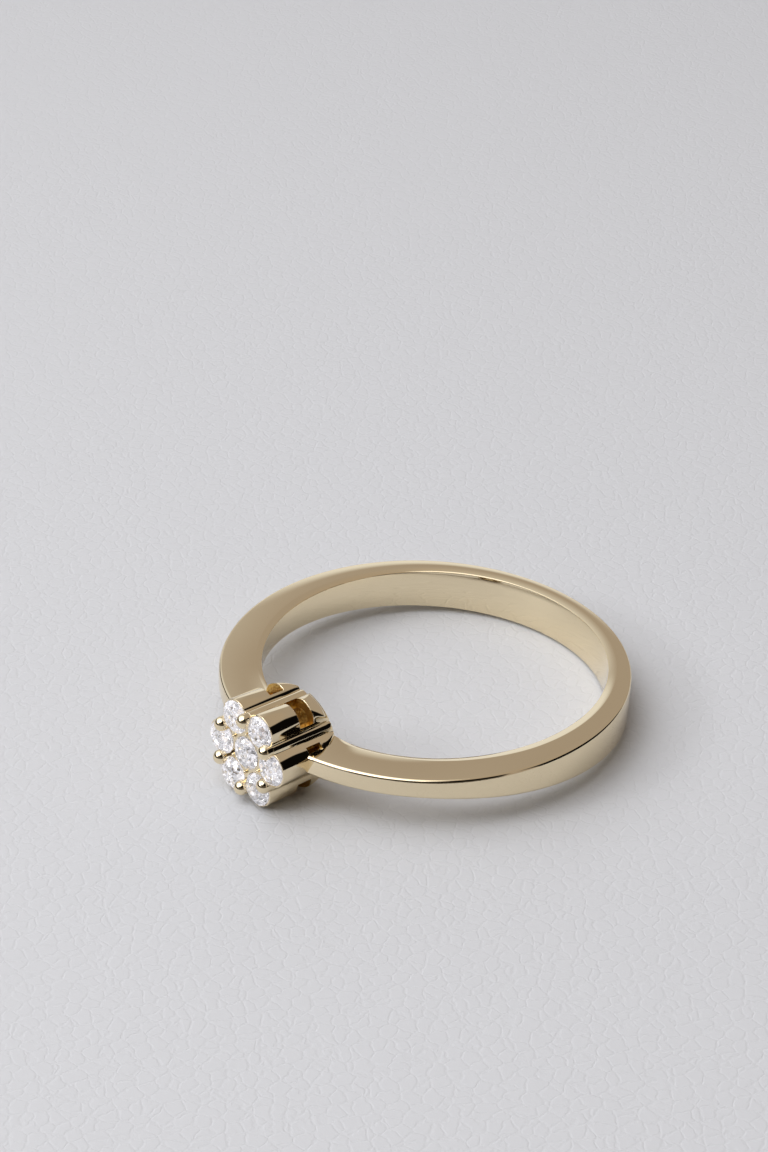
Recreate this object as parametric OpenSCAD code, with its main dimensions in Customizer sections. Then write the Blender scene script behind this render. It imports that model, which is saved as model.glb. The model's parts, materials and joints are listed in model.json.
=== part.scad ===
// Flower ring: a tapered gold band with a seven stone cluster in a six lobed basket.
// The ring lies on its side, as it rests by itself: on two lobes of the basket and
// on the back of the band. Millimetres, +Z up, the flower faces -Y.

/* [Band] */
// Inner diameter of the band, the finger hole
finger_d = 17; // [16:0.25:19]
// Radial thickness of the band at the back
back_t = 0.96; // [0.8:0.02:1.3]
// How far the outer wall is shifted towards the flower, which thickens the shoulders
shoulder_shift = 0.65; // [0.5:0.05:0.75]
// Half width of the band at the flower
shoulder_half_w = 0.5; // [0.45:0.01:0.55]
// Half width of the band where its side faces are furthest apart
flank_half_w = 1.198; // [1.1:0.002:1.3]
// How far behind the finger axis the side faces are furthest apart
flank_apex_y = 14.5; // [13:0.5:16]
// Radius of the long curve of each side face
flank_r = 321; // [300:1:350]

/* [Basket] */
// Distance from the head axis to the middle of each petal stone
petal_pitch = 1.8; // [1.78:0.01:1.9]
// Radius of a lobe at its rim
lobe_rim_r = 0.91; // [0.9:0.01:0.98]
// Radius of a lobe at the finger
lobe_base_r = 0.83; // [0.8:0.01:0.84]
// Radius of the bore behind each stone
bore_r = 0.46; // [0.45:0.01:0.48]
// Where the rounding of the basket's base runs out into its wall, above the finger axis
base_round_h = 9.95; // [9.85:0.05:10]
// Height of the rim above the finger axis
rim_h = 11.98; // [11.8:0.01:12.2]
// Thickness of the plate that the stones are seated in
seat_t = 1.15; // [1:0.05:1.3]
// Lower edge of the windows, above the finger axis
window_low = 9.4; // [9.2:0.05:9.6]
// Upper edge of the windows, above the finger axis
window_high = 10.25; // [10:0.05:10.5]
// Width of each window
window_w = 1.5; // [1.3:0.02:1.54]

/* [Prongs] */
// Distance from the head axis to the middle of each prong
prong_pitch = 1.84; // [1.83:0.01:1.88]
// Diameter of a prong
prong_d = 0.78; // [0.74:0.02:0.8]
// Top of the prongs, above the finger axis
prong_top_h = 12.59; // [12.5:0.01:12.7]
// Radius of the round top of a prong
prong_dome_r = 0.45; // [0.43:0.01:0.55]
// Diameter of the grains between the middle stone and the petals
grain_d = 0.26; // [0.2:0.02:0.3]

/* [Stones] */
// Diameter of each brilliant
stone_d = 1.66; // [1.5:0.01:1.68]
// Middle of the girdles, above the finger axis
girdle_h = 12; // [11.9:0.01:12.1]
// Clearance between a stone and the metal
stone_gap = 0.03; // [0.02:0.01:0.05]

/* [Hidden] */
gold = "goldenrod";
crystal = "azure";
petals = 6;
petal_step = 360 / petals;
half_step = petal_step / 2;
finger_r = finger_d / 2;
round_fn = 128;
small_fn = 48;

// Outer wall of the band: one circle, shifted towards the flower
outer_r = finger_r + back_t + shoulder_shift;
band_back_y = outer_r - shoulder_shift;
band_reach = outer_r + 1;
flank_steps = 10;

// Base of the basket: it follows the finger, a hair outside the finger hole
saddle_r = 8;
saddle_shift = finger_r + 0.05 - saddle_r;
basket_low = finger_r - 0.9;
basket_h = rim_h - basket_low;
window_reach = 2 * lobe_rim_r;
hollow_top = rim_h - seat_t;
bore_pitch = petal_pitch - 0.12;
shoulder_end_r = lobe_base_r - 0.15;
prong_dome_h = prong_top_h - prong_dome_r;

// Brilliant cut, as shares of the diameter
table_share = 0.56;
crown_share = 0.155;
girdle_share = 0.03;
pavilion_share = 0.43;
lower_half_share = 0.24;
facets = 8;
stone_r = stone_d / 2;
table_r = stone_r * table_share;
crown_h = stone_d * crown_share;
girdle_t = stone_d * girdle_share;
pavilion_h = stone_d * pavilion_share;
back_hole_r = 0.32;

// Side face of the band, radius of a lobe and reach of the basket's rounded base, each at a height
function flank_half(y) =
    max(shoulder_half_w, flank_half_w - flank_r + sqrt(pow(flank_r, 2) - pow(flank_apex_y - y, 2)));
function lobe_r_at(h) = lobe_base_r + (lobe_rim_r - lobe_base_r) * (h - basket_low) / basket_h;
base_round_r = petal_pitch + lobe_r_at(base_round_h) + 0.01;
function base_reach_at(h) = sqrt(pow(base_round_r, 2) - pow(base_round_h - h, 2));

// Lowest side of a lower lobe at a height: its own, or where the rounded base cuts it
function lobe_side_at(h) =
    let (r = lobe_r_at(h), limit = base_reach_at(h), side = petal_pitch * sin(petal_step) + r,
        along = (pow(limit, 2) - pow(r, 2) + pow(petal_pitch, 2)) / (2 * petal_pitch))
    norm([petal_pitch * cos(petal_step), side]) < limit ? side
        : along * sin(petal_step) + sqrt(pow(limit, 2) - pow(along, 2)) * cos(petal_step);

// How the ring rests: on the back edge of the band, and on the two lower lobes where they stand out most
back_half = flank_half(band_back_y);
rest_tilt = max([for (h = [finger_r : 0.001 : base_round_h])
    atan((lobe_side_at(h) - back_half) / (h + band_back_y))]);
rest_lift = back_half * cos(rest_tilt) + band_back_y * sin(rest_tilt);
reach_back = band_back_y * cos(rest_tilt) + back_half * sin(rest_tilt);
reach_front = prong_dome_h * cos(rest_tilt) + prong_pitch * sin(rest_tilt) + prong_dome_r;
rest_shift_y = (reach_front - reach_back) / 2;

// Turns the ring from its own frame, finger axis along Z, to how it rests
module at_rest() {
    translate([0, rest_shift_y, rest_lift]) rotate([-rest_tilt, 0, 0]) children();
}

// Heights above the finger axis run along +Z here, and point to -Y in the ring
module on_head() {
    rotate([90, 0, 0]) children();
}

module round_petals(start = 0, pitch = petal_pitch) {
    for (i = [0 : petals - 1]) rotate([0, 0, start + i * petal_step]) translate([pitch, 0, 0]) children();
}

// The band seen from its side: narrow and even at the flower, then widening along a long curve
module side_profile() {
    step = 2 * band_reach / flank_steps;
    far_side = [for (i = [0 : flank_steps]) -band_reach + i * step];
    near_side = [for (i = [flank_steps : -1 : 0]) -band_reach + i * step];
    polygon(concat([for (y = far_side) [y, -flank_half(y)]], [for (y = near_side) [y, flank_half(y)]]));
}

module band_blank() {
    intersection() {
        translate([0, -shoulder_shift, -flank_half_w])
            cylinder(r = outer_r, h = 2 * flank_half_w, $fn = round_fn);
        rotate([90, 0, 90]) linear_extrude(2 * band_reach, center = true) side_profile();
    }
}

// Band with its finger hole. Its shoulders end inside the basket's wall, and clear of the windows.
module band() {
    difference() {
        band_blank();
        translate([0, 0, -flank_half_w - 1]) cylinder(r = finger_r, h = 2 * flank_half_w + 2, $fn = round_fn);
        on_head() round_petals() translate([0, 0, window_low])
            cylinder(r = shoulder_end_r, h = rim_h, $fn = small_fn);
        on_head() cylinder(r = petal_pitch + 0.1, h = rim_h, $fn = small_fn);
    }
}

module lobes() {
    round_petals() translate([0, 0, basket_low])
        cylinder(r1 = lobe_base_r, r2 = lobe_rim_r, h = basket_h, $fn = small_fn);
    translate([0, 0, basket_low]) cylinder(r = petal_pitch - 0.2, h = basket_h, $fn = small_fn);
}

// What the basket stays inside of: below, a ball that rounds its base; above, nothing is taken off
module base_rounding() {
    translate([0, 0, base_round_h]) {
        sphere(r = base_round_r, $fn = round_fn);
        cylinder(r = base_round_r + 0.2, h = prong_top_h - base_round_h + 1, $fn = round_fn);
    }
}

// The bores behind the stones' seats, open to the finger
module bores() {
    height = hollow_top - basket_low + 1;
    translate([0, 0, basket_low - 1]) {
        cylinder(r = bore_r, h = height, $fn = small_fn);
        round_petals(pitch = bore_pitch) cylinder(r = bore_r, h = height, $fn = small_fn);
    }
}

module windows() {
    for (i = [0 : petals - 1]) rotate([0, 0, i * petal_step])
        translate([petal_pitch, -window_w / 2, window_low])
            cube([window_reach, window_w, window_high - window_low]);
}

// What a stone needs: its own shape grown by its clearance, and a round hole behind it
module stone_seat() {
    top = girdle_t / 2;
    grow = stone_gap;
    back_hole_z = hollow_top - girdle_h - 0.3;
    translate([0, 0, girdle_h]) rotate_extrude($fn = small_fn) polygon([
        [0, back_hole_z],
        [back_hole_r, back_hole_z],
        [back_hole_r, -top - pavilion_h * (1 - back_hole_r / stone_r) - grow],
        [stone_r + grow, -top - grow],
        [stone_r + grow, top + grow],
        [table_r + grow, top + crown_h + grow],
        [0, top + crown_h + grow]
    ]);
}

// Round wires in the valleys between the lobes, each with a low dome on top
module prongs() {
    round_petals(half_step, prong_pitch) {
        translate([0, 0, basket_low]) cylinder(d = prong_d, h = prong_dome_h - basket_low, $fn = small_fn);
        intersection() {
            translate([0, 0, prong_dome_h]) sphere(r = prong_dome_r, $fn = small_fn);
            translate([0, 0, rim_h - 0.1]) cylinder(d = prong_d, h = 1, $fn = small_fn);
        }
    }
}

// Small grains of metal where the middle stone meets two petals
module grains() {
    round_petals(half_step, petal_pitch / 2 / cos(half_step))
        translate([0, 0, rim_h - 0.2]) cylinder(d1 = grain_d, d2 = grain_d / 2, h = 0.45, $fn = small_fn);
}

// Lobes, prongs and grains in one, with a rounded base and the seats, cut to the curve of the finger
module basket() {
    difference() {
        intersection() {
            union() {
                difference() {
                    lobes();
                    windows();
                }
                prongs();
                grains();
            }
            base_rounding();
        }
        stone_seat();
        round_petals() stone_seat();
        translate([0, flank_half_w * 4, saddle_shift]) rotate([90, 0, 0])
            cylinder(r = saddle_r, h = flank_half_w * 8, $fn = round_fn);
    }
}

// A ring of corners of the brilliant: count corners at radius r and height z
function corner_ring(count, r, z, turn = 0) =
    [for (i = [0 : count - 1]) [r * cos(turn + i * 360 / count), r * sin(turn + i * 360 / count), z]];

// Round brilliant: a table, 8 stars, 8 kites, 16 upper and 16 lower halves, 8 mains
module brilliant() {
    facet_step = 360 / facets;
    top = girdle_t / 2;
    star_r = (table_r * cos(facet_step / 2) + stone_r) / 2;
    star_z = top + crown_h * (stone_r - star_r * cos(facet_step / 2)) / (stone_r - table_r);
    lower_r = stone_r * lower_half_share;
    lower_z = -top - pavilion_h * (1 - lower_r * cos(facet_step / 2) / stone_r);
    girdles = 2 * facets;
    corners = concat(
        corner_ring(facets, table_r, top + crown_h),
        corner_ring(facets, star_r, star_z, facet_step / 2),
        corner_ring(girdles, stone_r, top),
        corner_ring(girdles, stone_r, -top),
        corner_ring(facets, lower_r, lower_z, facet_step / 2),
        [[0, 0, -top - pavilion_h]]
    );
    star = facets;
    upper = star + facets;
    under = upper + girdles;
    lower = under + girdles;
    culet = lower + facets;
    faces = concat(
        [[for (i = [facets - 1 : -1 : 0]) i]],
        [for (i = [0 : facets - 1]) [i, (i + 1) % facets, star + i]],
        [for (i = [0 : facets - 1]) [i, star + i, upper + 2 * i]],
        [for (i = [0 : facets - 1]) [i, upper + 2 * i, star + (i + facets - 1) % facets]],
        [for (i = [0 : facets - 1]) [star + i, upper + 2 * i + 1, upper + 2 * i]],
        [for (i = [0 : facets - 1]) [star + i, upper + (2 * i + 2) % girdles, upper + 2 * i + 1]],
        [for (i = [0 : girdles - 1])
            [upper + i, upper + (i + 1) % girdles, under + (i + 1) % girdles, under + i]],
        [for (i = [0 : facets - 1]) [under + 2 * i, under + 2 * i + 1, lower + i]],
        [for (i = [0 : facets - 1]) [under + 2 * i + 1, under + (2 * i + 2) % girdles, lower + i]],
        [for (i = [0 : facets - 1]) [under + 2 * i, lower + i, culet]],
        [for (i = [0 : facets - 1]) [under + 2 * i, culet, lower + (i + facets - 1) % facets]]
    );
    translate([0, 0, girdle_h]) polyhedron(points = corners, faces = faces);
}

module ring_mount() {
    color(gold) at_rest() difference() {
        union() {
            band();
            on_head() basket();
        }
        on_head() bores();
    }
}

module centre_stone() {
    color(crystal) at_rest() on_head() brilliant();
}

// Petal stone number 1 is on the +X side, and the numbers go round towards +Z
module petal_stone(number) {
    angle = (number - 1) * petal_step;
    color(crystal) at_rest() on_head()
        rotate([0, 0, angle]) translate([petal_pitch, 0, 0]) rotate([0, 0, number * 17]) brilliant();
}

ring_mount();
centre_stone();
petal_stone(1);  // petal_stone_1
petal_stone(2);  // petal_stone_2
petal_stone(3);  // petal_stone_3
petal_stone(4);  // petal_stone_4
petal_stone(5);  // petal_stone_5
petal_stone(6);  // petal_stone_6
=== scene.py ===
# Flower ring of yellow gold with a cluster of brilliants, lying on a pale leather surface
import json
import math

import bmesh
import bpy
from mathutils import Matrix, Vector


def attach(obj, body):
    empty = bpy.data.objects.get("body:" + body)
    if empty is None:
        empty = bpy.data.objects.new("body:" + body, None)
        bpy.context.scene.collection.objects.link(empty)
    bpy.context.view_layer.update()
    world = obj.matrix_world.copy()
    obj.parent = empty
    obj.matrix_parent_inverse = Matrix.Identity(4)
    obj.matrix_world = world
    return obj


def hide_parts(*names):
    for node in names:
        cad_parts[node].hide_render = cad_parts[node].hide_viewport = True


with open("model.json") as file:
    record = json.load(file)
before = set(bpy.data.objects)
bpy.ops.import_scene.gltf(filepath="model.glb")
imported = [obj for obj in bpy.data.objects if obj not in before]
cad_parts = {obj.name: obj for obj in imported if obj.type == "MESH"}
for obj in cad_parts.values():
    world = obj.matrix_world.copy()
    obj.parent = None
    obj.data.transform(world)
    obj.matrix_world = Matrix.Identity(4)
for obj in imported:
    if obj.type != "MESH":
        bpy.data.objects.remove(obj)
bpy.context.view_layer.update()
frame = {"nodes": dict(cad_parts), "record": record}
mm = 0.001

# The ring's own frame has the finger axis along Z and the flower towards -Y. It leans as it rests.
hole = next(m for m in frame["record"]["mounts"] if m["name"] == "finger_hole")
holeCentre = Vector(hole["pos_m"])
lean = math.atan2(hole["axis"][1], hole["axis"][2])
ringFrame = Matrix.Translation(holeCentre) @ Matrix.Rotation(-lean, 4, "X") @ Matrix.Scale(mm, 4)
# The head's frame has its Z from the finger axis out through the flower
headFrame = ringFrame @ Matrix.Rotation(math.radians(90), 4, "X")


# Camera: where the photograph was taken from
view = {
    "azimuth": 48.4,
    "elevation": 31.8,
    "distance": 157.7,  # to the middle of the finger hole, mm
    "lens": 150.0,
    "sensor": 36.0,  # across the picture's width, mm
    "width": 768,
    "height": 1152,
    "holePixel": (434.2, 674.0),  # where the middle of the finger hole is seen
}


def makeCamera():
    turn = math.radians(view["azimuth"])
    rise = math.radians(view["elevation"])
    back = Vector((math.sin(turn) * math.cos(rise), -math.cos(turn) * math.cos(rise), math.sin(rise)))
    right = Vector((math.cos(turn), math.sin(turn), 0))
    up = back.cross(right)
    pixel = view["distance"] * view["sensor"] / view["lens"] / view["width"]
    across = (view["holePixel"][0] - view["width"] / 2) * pixel
    down = (view["holePixel"][1] - view["height"] / 2) * pixel
    data = bpy.data.cameras.new("photoCamera")
    data.lens = view["lens"]
    data.sensor_fit = "HORIZONTAL"
    data.sensor_width = view["sensor"]
    data.clip_start = 0.01
    data.clip_end = 10
    cam = bpy.data.objects.new("photoCamera", data)
    cam.matrix_world = Matrix((right, up, back)).transposed().to_4x4()
    cam.location = holeCentre + (back * view["distance"] - right * across + up * down) * mm
    bpy.context.collection.objects.link(cam)
    bpy.context.scene.camera = cam


makeCamera()
print("camera placed")


# Materials
def fromHex(text):
    parts = [int(text[i:i + 2], 16) / 255 for i in (1, 3, 5)]
    return tuple(c / 12.92 if c <= 0.04045 else ((c + 0.055) / 1.055) ** 2.4 for c in parts) + (1.0,)


def addNode(tree, kind, links=(), **settings):
    node = tree.nodes.new(kind)
    for key, value in settings.items():
        if hasattr(node, key):
            setattr(node, key, value)
        else:
            node.inputs[key.replace("_", " ")].default_value = value
    for source, target in links:
        tree.links.new(source, node.inputs[target])
    return node


def newMaterial(name):
    mat = bpy.data.materials.new(name)
    mat.use_nodes = True
    tree = mat.node_tree
    return mat, tree, tree.nodes["Principled BSDF"], addNode(tree, "ShaderNodeTexCoord").outputs["Object"]


goldLook = {
    "polished": "#EDDDBC",  # pale 14 carat yellow gold
    "roughness": (0.027, 0.0675),  # from the cleanest spots to the most handled
    "spotMm": 1.5,
    "hairlineMm": 0.3,  # coarser than the real hairlines, so that they show at all
    "hairlineDeepMm": 0.002,
    "castPaintedShade": "#CFA75A",  # painted shade: darker and deeper than the polished gold, for light bouncing between rough gold walls in the recesses
    "castRoughness": 0.38,
    "castGrainMm": 0.13,
    "castDeepMm": 0.07,
}


# 14 carat yellow gold, polished on a wheel: mirror bright, and softened a little by fine hairlines
def polishedGold():
    mat, tree, shader, place = newMaterial("polishedYellowGold")
    shader.inputs["Metallic"].default_value = 1.0
    shader.inputs["Base Color"].default_value = fromHex(goldLook["polished"])
    spots = addNode(tree, "ShaderNodeTexNoise", [(place, "Vector")],
                    Scale=1 / (goldLook["spotMm"] * mm), Detail=3.0)
    cleanest, dullest = goldLook["roughness"]
    rough = addNode(tree, "ShaderNodeMapRange", [(spots.outputs["Fac"], "Value")],
                    To_Min=cleanest, To_Max=dullest)
    tree.links.new(rough.outputs["Result"], shader.inputs["Roughness"])
    hair = addNode(tree, "ShaderNodeTexNoise", [(place, "Vector")],
                   Scale=1 / (goldLook["hairlineMm"] * mm), Detail=3.0)
    bump = addNode(tree, "ShaderNodeBump", [(hair.outputs["Fac"], "Height")], Strength=0.04,
                   Distance=goldLook["hairlineDeepMm"] * mm)
    tree.links.new(bump.outputs["Normal"], shader.inputs["Normal"])
    return mat


# The same gold as it left the mould, inside the basket where no wheel reaches: dull and granular, and
# coloured darker as painted shade of these recesses
def castShadedGold():
    mat, tree, shader, place = newMaterial("castYellowGoldPaintedShade")
    shader.inputs["Metallic"].default_value = 1.0
    # Base colour darker than the polished gold's: painted shade for the recesses
    shader.inputs["Base Color"].default_value = fromHex(goldLook["castPaintedShade"])
    shader.inputs["Roughness"].default_value = goldLook["castRoughness"]
    grain = addNode(tree, "ShaderNodeTexNoise", [(place, "Vector")],
                    Scale=1 / (goldLook["castGrainMm"] * mm), Detail=3.0)
    bump = addNode(tree, "ShaderNodeBump", [(grain.outputs["Fac"], "Height")], Strength=0.9,
                   Distance=goldLook["castDeepMm"] * mm)
    tree.links.new(bump.outputs["Normal"], shader.inputs["Normal"])
    return mat


stoneLook = {
    "ior": 2.42,  # a diamond's
    "clear": 0.88,  # share of the light that goes in, and the rest scatters back white
    "sparkMm": 0.2,  # patches that stand for the inner reflections, made by tilted normals and by a painted glow, finer than the facets
    "tilt": 1.2,  # how far the surface turns from patch to patch
    "paintedGlow": 0.27,  # painted glow: the light that the brightest patches emit
}


# Diamond, cut and polished: clear and strongly refracting, so it splits light into bright and dark patches,
# and its brightest patches carry a painted glow
def cutDiamondPaintedGlow():
    mat, tree, shader, place = newMaterial("cutDiamondPaintedGlow")
    shader.inputs["Base Color"].default_value = fromHex("#FFFFFF")
    shader.inputs["Transmission Weight"].default_value = stoneLook["clear"]
    shader.inputs["IOR"].default_value = stoneLook["ior"]
    shader.inputs["Roughness"].default_value = 0.0
    patches = addNode(tree, "ShaderNodeTexVoronoi", [(place, "Vector")],
                      Scale=1 / (stoneLook["sparkMm"] * mm))
    centred = addNode(tree, "ShaderNodeVectorMath", [(patches.outputs["Color"], 0)], operation="SUBTRACT")
    centred.inputs[1].default_value = (0.5, 0.5, 0.5)
    turned = addNode(tree, "ShaderNodeVectorMath", [(centred.outputs["Vector"], 0)], operation="SCALE",
                     Scale=stoneLook["tilt"])
    facing = addNode(tree, "ShaderNodeNewGeometry").outputs["Normal"]
    added = addNode(tree, "ShaderNodeVectorMath", [(facing, 0), (turned.outputs["Vector"], 1)],
                    operation="ADD")
    unit = addNode(tree, "ShaderNodeVectorMath", [(added.outputs["Vector"], 0)], operation="NORMALIZE")
    tree.links.new(unit.outputs["Vector"], shader.inputs["Normal"])
    # Painted glow: the brightest patches emit light, standing in for light that comes back out after more
    # inner bounces than a render follows
    paintedGlow = addNode(tree, "ShaderNodeMapRange", [(patches.outputs["Color"], "Value")],
                   From_Min=0.45, From_Max=0.75, To_Max=stoneLook["paintedGlow"])
    # Colour of the painted glow
    shader.inputs["Emission Color"].default_value = fromHex("#FBF8FF")
    tree.links.new(paintedGlow.outputs["Result"], shader.inputs["Emission Strength"])
    return mat


floorLook = {
    "leather": "#D6D7DB",
    "cellMm": 0.7,
    "wanderMm": 0.6,  # how far the creases stray from straight
    "creaseShare": 0.14,  # width of a crease, as a share of a cell
    "creaseDeep": 0.34,
    "cloudMm": 3.0,  # size of the slight unevenness under the cells
    "deepMm": 0.09,
    "acrossMm": 700.0,  # side of the whole surface
}


# Finished white leather: small cells between fine creases, over slight unevenness
def whiteLeather():
    mat, tree, shader, place = newMaterial("whiteGrainLeather")
    shader.inputs["Base Color"].default_value = fromHex(floorLook["leather"])
    shader.inputs["Roughness"].default_value = 0.6
    warp = addNode(tree, "ShaderNodeTexNoise", [(place, "Vector")],
                   Scale=1 / (floorLook["cellMm"] * mm), Detail=3.0)
    shifted = addNode(tree, "ShaderNodeMix", [(place, "A"), (warp.outputs["Color"], "B")],
                      data_type="VECTOR", Factor=floorLook["wanderMm"] * mm)
    cells = addNode(tree, "ShaderNodeTexVoronoi", [(shifted.outputs["Result"], "Vector")],
                    feature="DISTANCE_TO_EDGE", Scale=1 / (floorLook["cellMm"] * mm))
    creases = addNode(tree, "ShaderNodeMapRange", [(cells.outputs["Distance"], "Value")],
                      interpolation_type="SMOOTHSTEP", From_Max=floorLook["creaseShare"],
                      To_Max=floorLook["creaseDeep"])
    cloud = addNode(tree, "ShaderNodeTexNoise", [(place, "Vector")],
                    Scale=1 / (floorLook["cloudMm"] * mm), Detail=6.0, Roughness=0.65)
    height = addNode(tree, "ShaderNodeMath", [(creases.outputs["Result"], 0), (cloud.outputs["Fac"], 1)],
                     operation="ADD")
    bump = addNode(tree, "ShaderNodeBump", [(height.outputs["Value"], "Height")], Strength=0.35,
                   Distance=floorLook["deepMm"] * mm)
    tree.links.new(bump.outputs["Normal"], shader.inputs["Normal"])
    return mat


gold = polishedGold()
roughShadedGold = castShadedGold()
diamond = cutDiamondPaintedGlow()
print("materials made")


mergeUnder = 0.004  # mm: slivers that a join or cut leaves are merged away under this size
sharpOver = 35  # degrees: edges that turn by more are drawn sharp


# Bakes a shape drawn in millimetres into its place, and hands it to the frame as part of the mount
def finishPiece(bm, name, place, mats):
    manySided = [f for f in bm.faces if len(f.verts) > 4]
    bmesh.ops.triangulate(bm, faces=manySided, quad_method="BEAUTY", ngon_method="BEAUTY")
    bmesh.ops.dissolve_degenerate(bm, dist=mergeUnder, edges=bm.edges)
    bmesh.ops.transform(bm, matrix=place, verts=bm.verts)
    bmesh.ops.recalc_face_normals(bm, faces=bm.faces)
    mesh = bpy.data.meshes.new(name)
    for face in bm.faces:
        face.smooth = True
    for edge in bm.edges:
        edge.smooth = edge.is_manifold and edge.calc_face_angle() < math.radians(sharpOver)
    bm.to_mesh(mesh)
    bm.free()
    for mat in mats:
        mesh.materials.append(mat)
    piece = bpy.data.objects.new(name, mesh)
    bpy.context.collection.objects.link(piece)
    evenShading = piece.modifiers.new("evenShading", "WEIGHTED_NORMAL")
    evenShading.keep_sharp = True
    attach(piece, "root")
    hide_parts("ring_mount")


# Joins or cuts with another solid and returns the result as a bmesh
def combine(bm, other, operation):
    made = []
    for part in (bm, other):
        mesh = bpy.data.meshes.new("scratch")
        part.to_mesh(mesh)
        part.free()
        obj = bpy.data.objects.new("scratch", mesh)
        bpy.context.collection.objects.link(obj)
        made.append(obj)
    cutter = made[0].modifiers.new("combine", "BOOLEAN")
    cutter.object = made[1]
    cutter.operation = operation
    cutter.solver = "EXACT"
    result = bmesh.new()
    result.from_object(made[0], bpy.context.evaluated_depsgraph_get())
    for obj in made:
        mesh = obj.data
        bpy.data.objects.remove(obj)
        bpy.data.meshes.remove(mesh)
    return result


# Band: flat sided, narrow at the flower and widening to the back, all one bar of gold
band = {
    "fingerR": 8.5,
    "backT": 0.96,
    "shift": 0.65,  # how far the outer wall is moved towards the flower
    "shoulderHalf": 0.49,  # half the width at the shoulders
    "halfWidth": 1.198,  # half the width where the sides' long arcs are furthest apart
    "apexY": 14.5,  # how far behind the finger's axis that is
    "flankR": 321.0,
    "flankFillet": 0.1,
    "innerBevel": 0.42,  # the sides fall away towards the finger over this width
    "bevelAtFlower": 0.55,  # share of that width at the flower
    "bevelGrows": 0.8,  # grows over this share of the finger hole's radius
    "innerDrop": 0.06,  # how far they fall
    "outerRound": 0.16,
    "innerRound": 0.04,
    "lineRound": 0.015,  # the crisp line between the side and its bevel
    "steps": 320,
    "endX": 1.75,  # the shoulders end inside the basket's wall, cut by its bores
    "solder": 0.16,  # how far the solder rises up the basket on the finger's side
    "solderAtSide": 0.4,  # share of that rise at the bevel's end
    "solderFrom": 2.0,  # full rise to this far across the ring from its middle
    "solderReach": 1.5,  # and none from this much further
}


# Larger of two lengths, with a fillet where they meet
def filleted(a, b, size):
    blend = max(size - abs(a - b), 0) / size
    return max(a, b) + blend * blend * size / 4


def halfWidthAt(y):
    flank = band["halfWidth"] - band["flankR"] + math.sqrt(band["flankR"] ** 2 - (band["apexY"] - y) ** 2)
    return filleted(flank, band["shoulderHalf"], band["flankFillet"])


# The solder that runs from the shoulders' edges at the finger up to the basket
def solderAt(place):
    away = (abs(place.x) - band["solderFrom"]) / band["solderReach"]
    if place.y > 0 or away > 1:
        return 0.0
    return band["solder"] * (1 - max(away, 0)) ** 2


def outerRadiusAt(direction):
    outer = band["fingerR"] + band["backT"] + band["shift"]
    towardsFlower = -direction.y * band["shift"]
    return towardsFlower + math.sqrt(outer ** 2 - (band["shift"] * direction.x) ** 2)


def makeBand():
    bm = bmesh.new()
    inner = band["fingerR"]
    # Six corners of the section, given their real places below: across, 0 is the inner wall, 1 the end
    # of the slanted bevel and 3 the outer wall, and up, 1 is beside the finger and 2 the flat side
    corners = [(0, 1), (1, 2), (3, 2), (3, -2), (1, -2), (0, -1)]
    loop = [bm.verts.new((inner + u, 0, v)) for u, v in corners]
    edges = [bm.edges.new((loop[i], loop[(i + 1) % len(loop)])) for i in range(len(loop))]
    bmesh.ops.spin(bm, geom=edges, cent=(0, 0, 0), axis=(0, 0, 1), angle=math.tau,
                   steps=band["steps"], use_merge=True, use_duplicate=False)
    bmesh.ops.remove_doubles(bm, verts=bm.verts, dist=0.001)
    for v in bm.verts:
        flat = Vector((v.co.x, v.co.y, 0))
        direction = flat.normalized()
        u = round(flat.length - inner)
        side = round(v.co.z)
        away = max(0.0, min(1.0, (direction.y + 1) / band["bevelGrows"]))
        bevel = band["innerBevel"] * (band["bevelAtFlower"] + (1 - band["bevelAtFlower"]) * away)
        radius = {0: inner, 1: inner + bevel, 3: outerRadiusAt(direction)}[u]
        half = halfWidthAt(direction.y * radius) - (band["innerDrop"] if abs(side) == 1 else 0)
        if u < 3:
            half += solderAt(direction * radius) * (1 if u == 0 else band["solderAtSide"])
        v.co = direction * radius + Vector((0, 0, half * (1 if side > 0 else -1)))
    nearWall, bevelFrom, bevelTo = inner + 0.02, inner + 0.1, inner + 0.65
    roundEdges(bm, band["outerRound"], 5, bevelTo, math.inf)
    roundEdges(bm, band["innerRound"], 2, 0, nearWall)
    roundEdges(bm, band["lineRound"], 1, bevelFrom, bevelTo)
    trimShoulders(bm)
    bores = roundFlower(bore, basket["borePitch"], 0)
    bmesh.ops.rotate(bores, cent=(0, 0, 0), matrix=Matrix.Rotation(math.radians(90), 3, "X"),
                     verts=bores.verts)
    bm = combine(bm, bores, "DIFFERENCE")
    finishPiece(bm, "ringBand", ringFrame, [gold])


# Rounds the edges that run round the band between two radii
def roundEdges(bm, size, segments, low, high):
    chosen = []
    for edge in bm.edges:
        a, b = edge.verts
        sameSide = a.co.z * b.co.z > 0
        alongBand = abs(a.co.xy.length - b.co.xy.length) < 0.02
        radius = ((a.co + b.co) / 2).xy.length
        if sameSide and alongBand and low < radius < high:
            chosen.append(edge)
    bmesh.ops.bevel(bm, geom=chosen, offset=size, segments=segments, profile=0.5,
                    affect="EDGES", material=-1)


# Takes out the stretch of the band that the basket stands in
def trimShoulders(bm):
    front = -band["fingerR"] * 0.8  # only what lies this far forward is cut
    for side in (1, -1):
        near = [f for f in bm.faces if f.calc_center_median().y < front]
        geom = list({e for f in near for e in f.edges} | {v for f in near for v in f.verts}) + near
        bmesh.ops.bisect_plane(bm, geom=geom, dist=0.0001, plane_co=(side * band["endX"], 0, 0),
                               plane_no=(1, 0, 0))
    hidden = [f for f in bm.faces
              if f.calc_center_median().y < front and abs(f.calc_center_median().x) < band["endX"]]
    bmesh.ops.delete(bm, geom=hidden, context="FACES")
    openEdges = [e for e in bm.edges if e.is_boundary]
    bmesh.ops.holes_fill(bm, edges=openEdges, sides=0)


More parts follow.
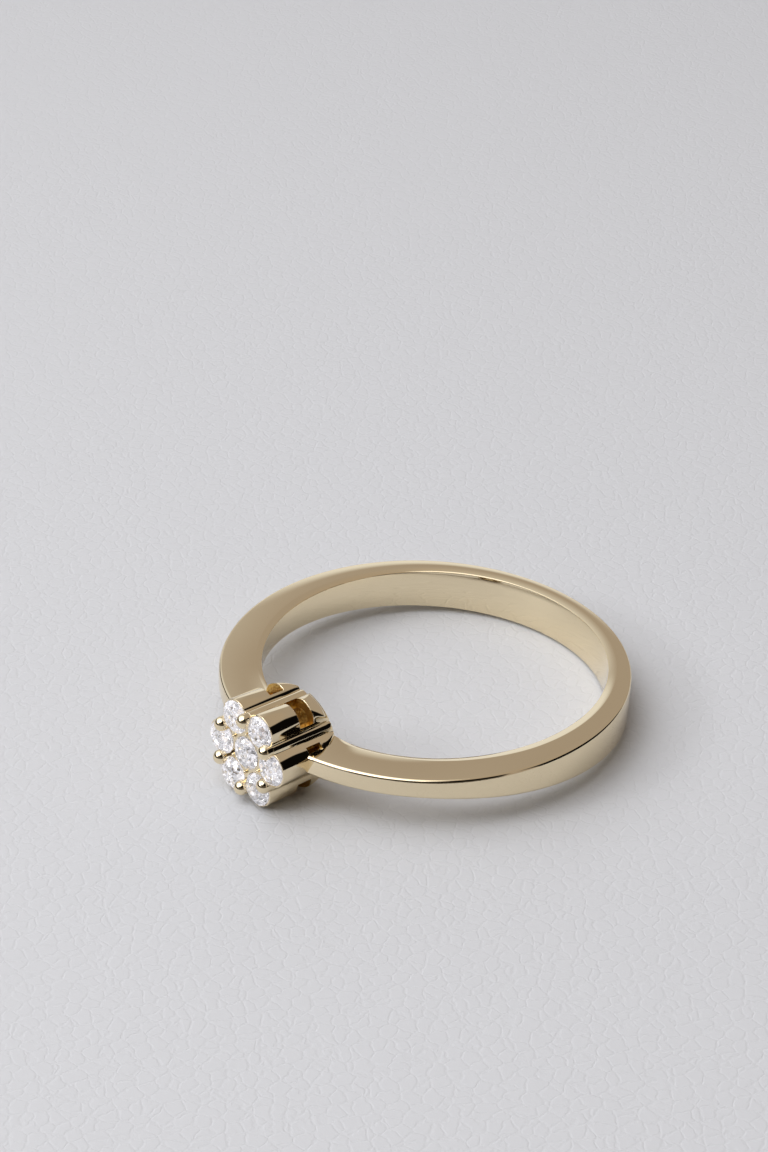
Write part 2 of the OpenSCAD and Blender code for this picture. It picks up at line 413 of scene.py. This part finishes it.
# Basket: six lobes round the flower, wires in their valleys, a window in each lobe
basket = {
    "lobes": 6,
    "pitch": 1.8,  # from the flower's middle to each lobe's
    "lobeBaseR": 0.83,
    "lobeRimR": 0.91,
    "boreR": 0.46,  # the bore behind each stone, open to the finger
    "borePitch": 1.68,
    "boreSteps": 96,
    "low": 7.6,  # heights are from the finger's axis
    "rim": 11.98,
    "roundH": 9.95,  # a ball rounds the base below this height
    "roundR": 2.683,
    "roundFillet": 0.05,
    "plateUnder": 10.83,  # the bores end under the plate that holds the stones
    "saddleR": 8.0,  # the base is cut to this circle round the finger
    "saddleShift": 0.55,
    "windowLow": 9.4,
    "windowHigh": 10.25,
    "windowColumns": 22,  # half the window's width, in columns
    "columns": 72,  # steps round each lobe
    "saddleRows": 6,
    "baseRows": 7,
    "valleyFillet": 0.06,
    "edge": 0.03,  # rounding of the rims
    "castFrom": 0.1,  # the wheel's polish reaches this far up the bores from the finger's side
}
wires = {"pitch": 1.84, "radius": 0.37, "base": 8.8, "top": 12.59, "dome": 0.36, "inset": 0.008, "steps": 48}
grains = {"radius": 0.085, "below": 0.3, "above": 0.06, "steps": 24}  # below and above the rim
seats = {"stoneR": 0.83, "gap": 0.012, "girdleH": 12.0, "girdleT": 0.05, "tableR": 0.465, "crown": 0.257,
         "pavilion": 0.714, "backHoleR": 0.32, "steps": 96}


# How far out a circle reaches at an angle, seen from the flower's middle
def circleReach(angle, pitch, radius):
    across = pitch * math.sin(angle)
    if abs(across) >= radius:
        return 0.0
    return pitch * math.cos(angle) + math.sqrt(radius ** 2 - across ** 2)


# Angle from the nearest lobe's middle
def lobeAngle(angle):
    step = math.tau / basket["lobes"]
    return (angle + step / 2) % step - step / 2


# How far out the basket reaches: lobes and wires with filleted valleys, inside the base's ball
def outsideAt(angle, height):
    share = (height - basket["low"]) / (basket["rim"] - basket["low"])
    lobeR = basket["lobeBaseR"] + (basket["lobeRimR"] - basket["lobeBaseR"]) * share
    lobe = circleReach(lobeAngle(angle), basket["pitch"], lobeR)
    betweenLobes = lobeAngle(angle + math.pi / basket["lobes"])
    wire = circleReach(betweenLobes, wires["pitch"], wires["radius"])
    under = max(basket["roundH"] - height, 0)
    ball = math.sqrt(basket["roundR"] ** 2 - under ** 2)
    return -filleted(-filleted(lobe, wire, basket["valleyFillet"]), -ball, basket["roundFillet"])


# Height of the base's end, which is cut to the finger's curve
def saddleAt(angle, reach):
    return basket["saddleShift"] + math.sqrt(basket["saddleR"] ** 2 - (reach * math.cos(angle)) ** 2)


# How far out the base reaches, where the outside meets the finger's curve. Eight rounds settle it.
def baseAt(angle):
    reach = basket["pitch"]
    for i in range(8):
        reach = outsideAt(angle, saddleAt(angle, reach))
    return reach


# The basket's skin, ring by ring: down the middle bore, out along the finger's curve, up the outside
def skinRings():
    bore, edge = basket["boreR"], basket["edge"]
    saddleRows, baseRows = basket["saddleRows"], basket["baseRows"]

    def onSaddle(share):
        def place(angle):
            reach = bore + (baseAt(angle) - edge - bore) * share
            return reach, saddleAt(angle, reach)
        return place

    # On the outside, from the base's edge (0) to the windows' lower edge (1)
    def onBase(share, inset, lift):
        def place(angle):
            low = saddleAt(angle, baseAt(angle)) + lift
            height = low + (basket["windowLow"] - low) * share
            return outsideAt(angle, height) - inset, height
        return place

    def onWall(height, inset):
        return lambda angle: (outsideAt(angle, height) - inset, height)

    quarter = (0, 0.52, 1.05, math.pi / 2)
    rounding = [(edge * (1 - math.sin(a)), edge * (1 - math.cos(a))) for a in quarter]
    rings = [lambda angle: (bore, basket["plateUnder"])]
    rings += [onSaddle(i / saddleRows) for i in range(saddleRows)]
    rings += [onBase(0, inset, lift) for inset, lift in rounding]
    rings += [onBase(i / baseRows, 0, edge) for i in range(1, baseRows)]
    rings += [onWall(basket["windowLow"], 0), onWall(basket["windowHigh"], 0)]
    rings += [onWall(basket["rim"] - inset, lift) for inset, lift in rounding]
    return rings


def drawSkin():
    bm = bmesh.new()
    bmesh.ops.create_circle(bm, cap_ends=True, segments=basket["columns"] * basket["lobes"], radius=1)
    ring = list(bm.verts)
    edges = list(bm.edges)
    for place in skinRings():
        for v in ring:
            angle = math.atan2(v.co.y, v.co.x)
            reach, height = place(angle)
            v.co = Vector((reach * math.cos(angle), reach * math.sin(angle), height))
        last = edges
        made = bmesh.ops.extrude_edge_only(bm, edges=edges)["geom"]
        ring = [g for g in made if isinstance(g, bmesh.types.BMVert)]
        inRing = set(ring)
        edges = [g for g in made if isinstance(g, bmesh.types.BMEdge) and inRing.issuperset(g.verts)]
    bmesh.ops.delete(bm, geom=ring, context="VERTS")
    bmesh.ops.contextual_create(bm, geom=last)
    return bm


# Windows: faces out of each lobe, with straight jambs in to about the middle of the bore
def cutWindows(bm):
    halfWide = math.tau / basket["lobes"] / basket["columns"] * basket["windowColumns"]
    inside = []
    for face in bm.faces:
        middle = face.calc_center_median()
        onWall = middle.xy.length > basket["pitch"]
        if onWall and basket["windowLow"] < middle.z < basket["windowHigh"]:
            if abs(lobeAngle(math.atan2(middle.y, middle.x))) < halfWide:
                inside.append(face)
    bmesh.ops.delete(bm, geom=inside, context="FACES")
    frames = [e for e in bm.edges if e.is_boundary]
    made = bmesh.ops.extrude_edge_only(bm, edges=frames)["geom"]
    for v in (g for g in made if isinstance(g, bmesh.types.BMVert)):
        angle = math.atan2(v.co.y, v.co.x)
        along = angle - lobeAngle(angle)
        axis = Vector((math.cos(along), math.sin(along), 0))
        v.co += axis * (basket["pitch"] + basket["edge"] - v.co.dot(axis))
    bmesh.ops.holes_fill(bm, edges=[e for e in bm.edges if e.is_boundary], sides=0)
    rims = [e for e in frames if e.is_valid]
    bmesh.ops.bevel(bm, geom=rims, offset=basket["edge"], segments=3, profile=0.5, affect="EDGES",
                    material=-1, clamp_overlap=True)


def mergeInto(bm, other):
    mesh = bpy.data.meshes.new("scratch")
    other.to_mesh(mesh)
    other.free()
    bm.from_mesh(mesh)
    bpy.data.meshes.remove(mesh)


# A round solid turned from a profile of (radius, height) pairs that starts and ends on its axis
def turned(profile, steps):
    bm = bmesh.new()
    points = [bm.verts.new((r, 0, z)) for r, z in profile]
    edges = [bm.edges.new(pair) for pair in zip(points, points[1:])]
    bmesh.ops.spin(bm, geom=edges, cent=(0, 0, 0), axis=(0, 0, 1), angle=math.tau, steps=steps,
                   use_merge=True, use_duplicate=False)
    bmesh.ops.remove_doubles(bm, verts=bm.verts, dist=0.0005)
    bmesh.ops.recalc_face_normals(bm, faces=bm.faces)
    return bm


# Copies of a solid round the flower
def roundFlower(make, pitch, start):
    bm = bmesh.new()
    for i in range(basket["lobes"]):
        part = make()
        angle = start + i * math.tau / basket["lobes"]
        bmesh.ops.translate(part, vec=(pitch * math.cos(angle), pitch * math.sin(angle), 0), verts=part.verts)
        mergeInto(bm, part)
    return bm


# A round wire from inside the base up to its domed tip
def wire():
    radius = wires["radius"] - wires["inset"]
    start = wires["top"] - wires["dome"]
    arc = [(radius * math.cos(a), start + wires["dome"] * math.sin(a))
           for a in (math.radians(d) for d in range(0, 90, 9))]
    return turned([(0, wires["base"]), (radius, wires["base"])] + arc + [(0, wires["top"])], wires["steps"])


# A small bead of metal between three stones
def grain():
    radius = grains["radius"]
    low, start = basket["rim"] - grains["below"], basket["rim"] + grains["above"]
    arc = [(radius * math.cos(a), start + radius * math.sin(a))
           for a in (math.radians(d) for d in range(0, 90, 15))]
    return turned([(0, low), (radius, low)] + arc + [(0, start + radius)], grains["steps"])


def bore():
    radius, low, high = basket["boreR"], basket["low"], basket["plateUnder"]
    return turned([(0, low), (radius, low), (radius, high), (0, high)], basket["boreSteps"])


# What a stone needs: room for its girdle and pavilion, open above, and a hole through to its bore
def seat():
    r, gap, top = seats["stoneR"], seats["gap"], seats["girdleT"] / 2
    middle = seats["girdleH"]
    hole = seats["backHoleR"]
    low, high = basket["plateUnder"] - 0.2, basket["rim"] + 2
    return turned([(0, low), (hole, low),
                   (hole, middle - top - seats["pavilion"] * (1 - hole / r) - gap),
                   (r + gap, middle - top - gap), (r + gap, middle + top + gap),
                   (seats["tableR"] + gap, middle + top + seats["crown"] + gap),
                   (seats["tableR"] + gap, high), (0, high)], seats["steps"])


def makeBasket():
    bm = drawSkin()
    cutWindows(bm)
    bm = combine(bm, roundFlower(bore, basket["borePitch"], 0), "DIFFERENCE")
    half = math.pi / basket["lobes"]
    added = roundFlower(wire, wires["pitch"], half)
    mergeInto(added, roundFlower(grain, basket["pitch"] / 2 / math.cos(half), half))
    bm = combine(bm, added, "UNION")
    cuts = roundFlower(seat, basket["pitch"], 0)
    mergeInto(cuts, seat())
    bm = combine(bm, cuts, "DIFFERENCE")
    # What lies inside the wall, from the polish at the finger's side up to the plate, stays as cast, and its
    # darker colour is painted shade inside the bores
    for face in bm.faces:
        middle = face.calc_center_median()
        reach = middle.xy.length
        angle = math.atan2(middle.y, middle.x)
        insideWall = reach < outsideAt(angle, middle.z) - basket["edge"] * 1.5
        castLow, castHigh = saddleAt(angle, reach) + basket["castFrom"], basket["plateUnder"] + 0.05
        if insideWall and castLow < middle.z < castHigh:
            face.material_index = 1
    finishPiece(bm, "basket", headFrame, [gold, roughShadedGold])


makeBand()
print("band made")
makeBasket()
print("basket made")

# The stones' solids keep their true facets
for name, node in frame["nodes"].items():
    if "stone" in name:
        node.data.materials.clear()
        node.data.materials.append(diamond)
print("stones set")


# Stage: pale surface and soft light
def makeStage():
    bm = bmesh.new()
    bmesh.ops.create_grid(bm, x_segments=1, y_segments=1, size=floorLook["acrossMm"] * mm / 2)
    mesh = bpy.data.meshes.new("floor")
    bm.to_mesh(mesh)
    bm.free()
    mesh.materials.append(whiteLeather())
    floor = bpy.data.objects.new("floor", mesh)
    bpy.context.collection.objects.link(floor)


makeStage()
print("stage made")


# Soft studio light. Bearings are degrees round the ring from the camera, positive to its right, and
# sizes and distances are in mm.
lights = {
    "ceilingPanel": {"bearing": -95, "rise": 60, "away": 340, "wide": 420, "deep": 480, "radiance": 0.85},
    "keyPanel": {"bearing": -50, "rise": 64, "away": 320, "wide": 280, "deep": 240, "radiance": 1.3},
    "flowerPanel": {"bearing": -72, "rise": 30, "away": 320, "wide": 80, "deep": 60, "radiance": 10.0},
}
room = {
    "wall": "#AEA59D",  # ahead of the camera, seen in the ring's flat side
    "ceiling": "#B2A79C",
    "ceilingFrom": (0.67, 0.78),  # sine of the rise where it starts and where it is full
    "window": "#E6E7EA",  # paler to the left
    "windowAt": (-90, 20),
    "windowFrom": (0.1, 0.6),  # cosine of the angle from its middle
    "glow": "#F2F4F8",  # a bright low patch ahead
    "glowAt": (180, 12),
    "glowFrom": (0.955, 0.985),
    "softEdge": 0.04,  # of the parts below
    # Dark parts of the room, as corners in (bearing, rise)
    "behindCamera": ("#57514B", [(-40, -8), (40, -8), (40, 48), (12, 60), (-22, 60), (-40, 40)]),
    "unlitCeiling": ("#0B0A09", [(-42, 24), (42, 24), (60, 55), (60, 80), (-22, 66), (-42, 44)]),
    "unlitCorner": ("#0B0A09", [(60, -10), (130, -10), (106, 44), (60, 49)]),
    "leftHorizon": ("#26221F", [(-150, -6), (-38, -6), (-38, 15), (-150, 11)]),
}


def fromCamera(bearing, rise):
    turn = math.radians(view["azimuth"] + bearing)
    flat = math.cos(math.radians(rise))
    return Vector((math.sin(turn) * flat, -math.cos(turn) * flat, math.sin(math.radians(rise))))


def makeLights():
    for name, panel in lights.items():
        data = bpy.data.lights.new(name, "AREA")
        data.shape = "RECTANGLE"
        data.size = panel["wide"] * mm
        data.size_y = panel["deep"] * mm
        data.energy = panel["radiance"] * math.pi * data.size * data.size_y
        lamp = bpy.data.objects.new(name, data)
        direction = fromCamera(panel["bearing"], panel["rise"])
        lamp.location = holeCentre + direction * panel["away"] * mm
        lamp.rotation_mode = "QUATERNION"
        lamp.rotation_quaternion = direction.to_track_quat("Z", "Y")
        bpy.context.collection.objects.link(lamp)


# The room: a grey wall, paler to the left, dim behind the camera, and an unlit corner to the right
def makeRoom():
    world = bpy.data.worlds.new("room")
    world.use_nodes = True
    bpy.context.scene.world = world
    tree = world.node_tree
    place = addNode(tree, "ShaderNodeTexCoord").outputs["Generated"]

    # 0 to 1 as a direction turns towards the given one, from one dot product to another
    def towards(direction, low, high):
        dot = addNode(tree, "ShaderNodeVectorMath", [(place, 0)], operation="DOT_PRODUCT")
        dot.inputs[1].default_value = direction
        share = addNode(tree, "ShaderNodeMapRange", [(dot.outputs["Value"], "Value")],
                        interpolation_type="SMOOTHSTEP", From_Min=low, From_Max=high)
        return share.outputs["Result"]

    def mixed(share, first, second):
        node = addNode(tree, "ShaderNodeMix", [(share, "Factor")], data_type="RGBA")
        for socket, colour in (("A", first), ("B", second)):
            if isinstance(colour, str):
                node.inputs[socket].default_value = fromHex(colour)
            else:
                tree.links.new(colour, node.inputs[socket])
        return node.outputs["Result"]

    def both(first, second):
        return addNode(tree, "ShaderNodeMath", [(first, 0), (second, 1)], operation="MULTIPLY").outputs[0]

    # Everything inside corners given as (bearing, rise), with soft edges
    def inside(corners):
        share = None
        for i, corner in enumerate(corners):
            normal = fromCamera(*corner).cross(fromCamera(*corners[(i + 1) % len(corners)])).normalized()
            edge = towards(normal, -room["softEdge"], room["softEdge"])
            share = both(share, edge) if share else edge
        return share

    colour = mixed(towards(Vector((0, 0, 1)), *room["ceilingFrom"]), room["wall"], room["ceiling"])
    colour = mixed(towards(fromCamera(*room["windowAt"]), *room["windowFrom"]), colour, room["window"])
    colour = mixed(towards(fromCamera(*room["glowAt"]), *room["glowFrom"]), colour, room["glow"])
    for part in ("leftHorizon", "behindCamera", "unlitCeiling", "unlitCorner"):
        dark, corners = room[part]
        colour = mixed(inside(corners), colour, dark)
    tree.links.new(colour, tree.nodes["Background"].inputs["Color"])
    bpy.context.scene.view_settings.view_transform = "Standard"


makeLights()
makeRoom()
print("lights made")
